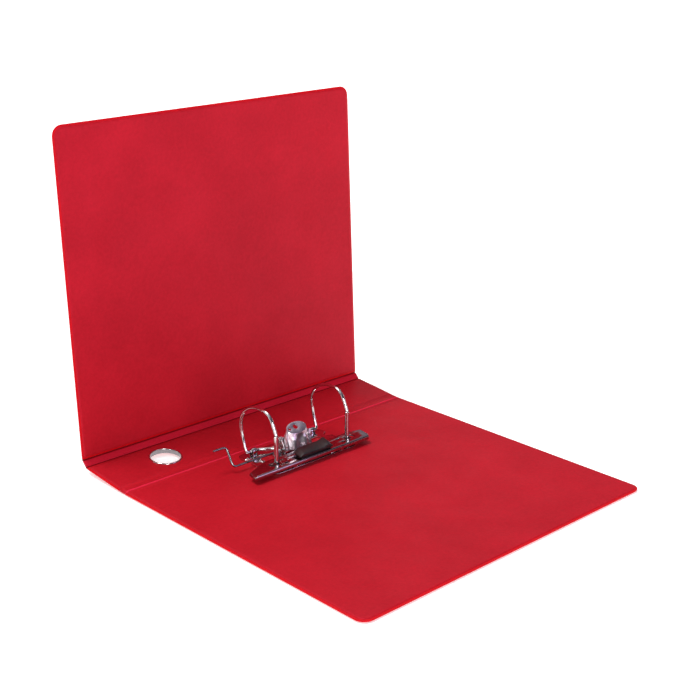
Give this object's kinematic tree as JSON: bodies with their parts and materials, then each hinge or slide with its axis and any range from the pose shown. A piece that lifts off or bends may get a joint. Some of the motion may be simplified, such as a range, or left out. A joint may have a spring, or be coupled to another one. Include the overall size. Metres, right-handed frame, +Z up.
{
  "type": "lever arch file",
  "caption": "Open A4 lever arch file: stiff plastic-covered boards, thumb ring, label pocket and a lever arch mechanism with a compressor bar.",
  "frame": {"origin": "middle of the back cover's outer face, which lies on the table", "axes": "+X along the spine from the ring's end to the label's end, +Y from the back cover's fore-edge to its spine edge, +Z up from the table"},
  "size_m": [0.3124, 0.3517, 0.2888],
  "materials": {
    "cover_plastic": "semi-gloss red plastic film with a fine grain",
    "board": "grey board",
    "nickel": "bright nickel plating",
    "lever_steel": "satin nickel plating",
    "spring_steel": "plain spring steel",
    "black_plastic": "black moulded plastic",
    "clear_plastic": "clear film",
    "card": "uncoated printed card"
  },
  "bodies": {
    "back_cover": {"back_outer_skin": "cover_plastic", "back_board": "board", "back_inner_skin": "cover_plastic", "base_plate": "nickel", "post_left": "nickel", "post_right": "nickel", "rivet_1": "nickel", "rivet_2": "nickel", "rivet_3": "nickel", "rivet_4": "nickel", "lever_pivot_pin": "nickel", "opening_spring": "spring_steel"},
    "rear_strip": {"rear_hinge_strip": "cover_plastic"},
    "spine": {"spine_outer_skin": "cover_plastic", "spine_board": "board", "spine_inner_skin": "cover_plastic", "thumb_ring_outer": "nickel", "thumb_ring_inner": "nickel", "label_pocket": "clear_plastic"},
    "card": {"label_card": "card"},
    "front_strip": {"front_hinge_strip": "cover_plastic"},
    "front_cover": {"front_outer_skin": "cover_plastic", "front_board": "board", "front_inner_skin": "cover_plastic"},
    "arches": {"arch_wire": "nickel"},
    "lever_arm": {"lever": "lever_steel", "roller_pin": "nickel"},
    "roller": {"lever_roller": "nickel"},
    "latch": {"latch_wire": "nickel"},
    "compressor": {"compressor_bar": "nickel", "lock_spring": "spring_steel"},
    "button": {"lock_button": "black_plastic"},
    "lock_left": {"lock_plate_left": "spring_steel"},
    "lock_right": {"lock_plate_right": "spring_steel"}
  },
  "joints": [
    {"name": "rear_fold", "type": "hinge", "parent": "spine", "child": "rear_strip", "pos_m": [0, 0.14619, 0.00182], "axis": [-1, 0, 0], "range_deg": [0, 44.25]},
    {"name": "rear_fold_cover", "type": "hinge", "parent": "rear_strip", "child": "back_cover", "pos_m": [0, 0.1388, 0.0015], "axis": [-1, 0, 0], "range_deg": [0, 44.25]},
    {"name": "front_fold", "type": "hinge", "parent": "spine", "child": "front_strip", "pos_m": [0, 0.19471, 0.00607], "axis": [1, 0, 0], "range_deg": [-44.2, 5.45]},
    {"name": "front_fold_cover", "type": "hinge", "parent": "front_strip", "child": "front_cover", "pos_m": [0, 0.19982, 0.01142], "axis": [1, 0, 0], "range_deg": [-44.2, 5.45]},
    {"name": "lever_pivot", "type": "hinge", "parent": "back_cover", "child": "lever_arm", "pos_m": [-0.0013, 0.11175, 0.01635], "axis": [1, 0, 0], "range_deg": [-60, 0]},
    {"name": "arch_hinge", "type": "hinge", "parent": "back_cover", "child": "arches", "pos_m": [-0.0013, 0.1246, 0.0078], "axis": [1, 0, 0], "range_deg": [-45, 0]},
    {"name": "roller_spin", "type": "hinge", "parent": "lever_arm", "child": "roller", "pos_m": [-0.0013, 0.10945, 0.01085], "axis": [1, 0, 0], "continuous": true},
    {"name": "latch_hinge", "type": "hinge", "parent": "back_cover", "child": "latch", "pos_m": [-0.045, 0.1078, 0.0088], "axis": [1, 0, 0], "range_deg": [-45, 30]},
    {"name": "compressor_slide", "type": "slide", "parent": "back_cover", "child": "compressor", "axis": [0, 0, 1], "range_m": [0, 0.02]},
    {"name": "button_press", "type": "slide", "parent": "compressor", "child": "button", "axis": [0, 0, -1], "range_m": [0, 0.0012], "stiffness_N_per_m": 1000, "springref_m": -0.0005, "deforming": ["lock_spring"]},
    {"name": "lock_tilt_left", "type": "hinge", "parent": "compressor", "child": "lock_left", "pos_m": [-0.0483, 0.0858, 0.00795], "axis": [0, 1, 0], "range_deg": [0, 2.4]},
    {"name": "lock_tilt_right", "type": "hinge", "parent": "compressor", "child": "lock_right", "pos_m": [0.0457, 0.0858, 0.00795], "axis": [0, 1, 0], "range_deg": [-2.4, 0]},
    {"name": "card_slide", "type": "slide", "parent": "spine", "child": "card", "axis": [-1, 0, 0], "range_m": [0, 0.06]}
  ],
  "couplings": [
    {"joint": "rear_fold_cover", "follows": "rear_fold", "ratio": 1},
    {"joint": "front_fold_cover", "follows": "front_fold", "ratio": 1},
    {"joint": "arch_hinge", "follows": "lever_pivot", "ratio": 0.75},
    {"joint": "lock_tilt_left", "follows": "button_press", "rad_per_m": 34.5},
    {"joint": "lock_tilt_right", "follows": "button_press", "rad_per_m": -34.5}
  ]
}
